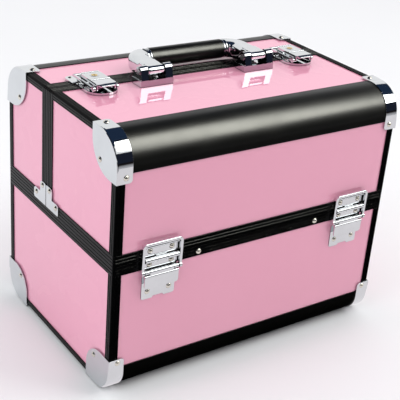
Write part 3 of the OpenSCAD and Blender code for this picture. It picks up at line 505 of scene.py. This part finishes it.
def aim(obj, place, target):
    """Puts an object in its place, facing a point; without one it lies level and faces up."""
    obj.location = place
    if target:
        ahead = Vector(target) - Vector(place)
        obj.rotation_euler = ahead.to_track_quat("-Z", "Y").to_euler()


def lamp(name, place, width, height, radiance, colour):
    """A soft rectangular lamp aimed at the case; the cards, not the lamps, show in reflections."""
    data = bpy.data.lights.new(name, "AREA")
    data.shape = "RECTANGLE"
    data.size = width
    data.size_y = height
    data.energy = radiance * math.pi * width * height
    data.color = colour
    obj = bpy.data.objects.new(name, data)
    scene.collection.objects.link(obj)
    aim(obj, place, MIDDLE)
    obj.visible_glossy = False


def plane(name, size, material):
    """A square plane of the studio."""
    bpy.ops.mesh.primitive_plane_add(size=size)
    obj = bpy.context.object
    obj.name = name
    obj.data.materials.append(material)
    return obj


def card(name, place, target, width, height, colour, strength=1.0, shade=False, fade=None, clear=0.0):
    """A glowing or dark card of the room, which shows in reflections and not to the camera.

    Matt surfaces see only a card that is meant to shade them. A fade is a share and a colour: above
    that share of its height the card turns to the colour. A clear card adds that share of what
    stands behind it.
    """
    skin = bpy.data.materials.new(name)
    skin.use_nodes = True
    tree = skin.node_tree
    tree.nodes.clear()
    if fade:
        axes = tree.nodes.new("ShaderNodeSeparateXYZ")
        feed(tree, tree.nodes.new("ShaderNodeTexCoord").outputs["Object"], axes.inputs[0])
        share, end = fade
        rise = ranged(tree, axes.outputs["Y"], low=share - 0.5, high=0.5, to_low=0.0, to_high=1.0)
        colour = mixed(tree, rise, colour, end)
    glow = tree.nodes.new("ShaderNodeEmission")
    feed(tree, colour, glow.inputs["Color"])
    feed(tree, strength, glow.inputs["Strength"])
    face = glow.outputs[0]
    if clear:
        pane = tree.nodes.new("ShaderNodeBsdfTransparent")
        feed(tree, (clear, clear, clear, 1.0), pane.inputs["Color"])
        both = tree.nodes.new("ShaderNodeAddShader")
        feed(tree, face, both.inputs[0])
        feed(tree, pane.outputs[0], both.inputs[1])
        face = both.outputs[0]
    feed(tree, face, tree.nodes.new("ShaderNodeOutputMaterial").inputs["Surface"])
    obj = plane(name, 1.0, skin)
    obj.scale = (width, height, 1.0)
    aim(obj, place, target)
    obj.visible_camera = False
    obj.visible_diffuse = shade
    obj.visible_shadow = False
    return obj


def link_pieces(panel, name, finishes, state):
    """Shows a card only to the pieces in some finishes (INCLUDE), or to all but them (EXCLUDE)."""
    group = bpy.data.collections.new(name)
    for obj in scene.collection.all_objects:
        if obj.type == "MESH" and obj.data.materials and obj.data.materials[0] in finishes:
            group.objects.link(obj)
    for member in group.collection_objects:
        member.light_linking.link_state = state
    panel.light_linking.receiver_collection = group


def build_floor():
    """White paper, just under the feet of the case."""
    paper = Finish("floor_paper", Base_Color=(0.86, 0.855, 0.87, 1.0), Roughness=1.0,
                   Specular_IOR_Level=0.0)
    light, deep = (0.87, 0.868, 0.875, 1.0), (0.85, 0.846, 0.856, 1.0)
    paper.drive(paper.tone(light, deep, scale=1.3), "Base Color")
    plane("floor", 24.0, paper.material).location = (0.0, 0.0, -0.2 * MM)


def build_lights():
    """One softbox in front on the right, a weak fill on the left, and what reflections show: the
    face of the softbox and the bright and dark sides of the room."""
    lamp("softbox_front_right", (1.08, -0.98, 1.50), width=0.95, height=1.10,
         radiance=3.5, colour=(1.0, 0.99, 0.97))
    card("softbox_face", (1.05, -1.05, 1.49), MIDDLE, width=1.10, height=1.46,
         colour=(1.0, 1.0, 0.97, 1.0), strength=4.0, clear=1.0)
    # the satin black pieces see the softbox stronger, as in the hard contrast of the photograph
    core = card("softbox_core", (0.95, -1.08, 1.60), MIDDLE, width=0.84, height=1.48,
                colour=(1.0, 1.0, 0.88, 1.0), strength=27.0)
    link_pieces(core, "satin_black_skins", SATIN_BLACK, "INCLUDE")
    # and they don't see the bright paper in front of the case
    paper = card("bright_floor_front", (0.5, -0.4025, 0.8 * MM), None, width=3.6, height=0.595,
                 colour=(0.90, 0.86, 0.88, 1.0))
    link_pieces(paper, "all_but_satin_black", SATIN_BLACK, "EXCLUDE")
    # the rails don't see this card, only the share of the white room that shines through it
    back = card("bright_room_back", (-0.6, 3.4, 1.9), (-0.6, 0.0, 1.9), width=9.0, height=3.4,
                colour=(0.6, 0.6, 0.6, 1.0), clear=0.4)
    link_pieces(back, "all_but_rails", RAIL_BLACK, "EXCLUDE")
    lamp("fill_left", (-2.2, -0.3, 1.6), width=1.6, height=1.6,
         radiance=1.5, colour=(0.90, 1.0, 1.04))
    card("dark_ceiling", (0.0, 0.6, 3.2), (0.0, 0.6, 0.0), width=7.0, height=5.0,
         colour=(0.016, 0.030, 0.062, 1.0))
    card("dark_room_front", (1.2, -3.2, 1.0), (1.2, 0.0, 1.0), width=9.0, height=2.1,
         colour=(0.013, 0.016, 0.028, 1.0), shade=True)
    card("dark_room_left", (-3.3, -0.4, 1.9), (0.0, -0.4, 1.9), width=5.6, height=3.0,
         colour=(0.010, 0.014, 0.028, 1.0))
    card("dark_floor_front", (1.2, -2.0, 2.0 * MM), None, width=9.0, height=2.6,
         colour=(0.010, 0.008, 0.009, 1.0), fade=(0.72, (0.55, 0.54, 0.56, 1.0)))


def build_world():
    """A white room: plain white to the camera and in reflections, slightly cool as light."""
    world = scene.world or bpy.data.worlds.new("studio")
    scene.world = world
    world.use_nodes = True
    tree = world.node_tree
    tree.nodes.clear()
    path = tree.nodes.new("ShaderNodeLightPath")
    seen = path.outputs["Is Camera Ray"]
    for ray in ("Is Glossy Ray", "Is Transmission Ray"):
        either = tree.nodes.new("ShaderNodeMath")
        either.operation = "MAXIMUM"
        feed(tree, seen, either.inputs[0])
        feed(tree, path.outputs[ray], either.inputs[1])
        seen = either.outputs[0]
    mix = tree.nodes.new("ShaderNodeMixShader")
    feed(tree, seen, mix.inputs["Fac"])
    for socket, colour, strength in ((1, (0.98, 0.985, 1.0, 1.0), 1.02), (2, WHITE, 1.0)):
        sky = tree.nodes.new("ShaderNodeBackground")
        feed(tree, colour, sky.inputs["Color"])
        feed(tree, strength, sky.inputs["Strength"])
        feed(tree, sky.outputs[0], mix.inputs[socket])
    feed(tree, mix.outputs[0], tree.nodes.new("ShaderNodeOutputWorld").inputs["Surface"])


dress_parts()
place_camera()
build_floor()
build_lights()
build_world()
scene.view_settings.view_transform = "Standard"
